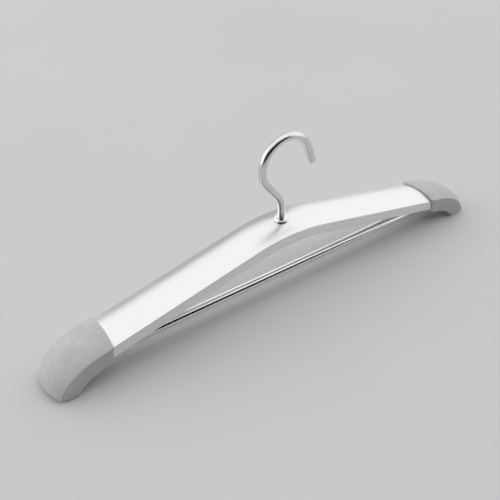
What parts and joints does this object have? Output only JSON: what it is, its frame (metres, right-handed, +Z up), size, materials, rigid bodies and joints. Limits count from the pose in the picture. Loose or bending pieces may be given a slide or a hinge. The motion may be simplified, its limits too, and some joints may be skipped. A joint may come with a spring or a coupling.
{
  "type": "trouser hanger",
  "caption": "Trouser hanger: bent aluminium rail with a crowned top, turned-down plastic end caps with a straight tube between them, and a swivelling wire hook.",
  "frame": {"origin": "on the surface that the feet of the two end caps stand on, midway between them and under the hook's stem", "axes": "+X along the hanger towards the right end cap, +Y from the front of the hanger to its back, +Z up towards the hook"},
  "size_m": [0.449, 0.0422, 0.1495],
  "materials": {
    "rail_aluminium": "satin anodised",
    "cap_plastic": "fine textured, mid grey",
    "bar_chrome": "polished",
    "bush_nylon": "moulded, off-white",
    "hook_chrome": "polished",
    "collar_chrome": "polished",
    "fixing_steel": "zinc plated"
  },
  "bodies": {
    "hanger": {"shoulder_rail": "rail_aluminium", "end_cap_left": "cap_plastic", "end_cap_right": "cap_plastic", "trouser_bar": "bar_chrome", "swivel_bush": "bush_nylon"},
    "swivel_hook": {"hook": "hook_chrome", "hook_collar": "collar_chrome", "stem_washer": "fixing_steel", "stem_nut": "fixing_steel"}
  },
  "joints": [
    {"name": "hook_swivel", "type": "hinge", "parent": "hanger", "child": "swivel_hook", "pos_m": [0, 0, 0.0682], "axis": [0, 0, 1], "continuous": true}
  ]
}
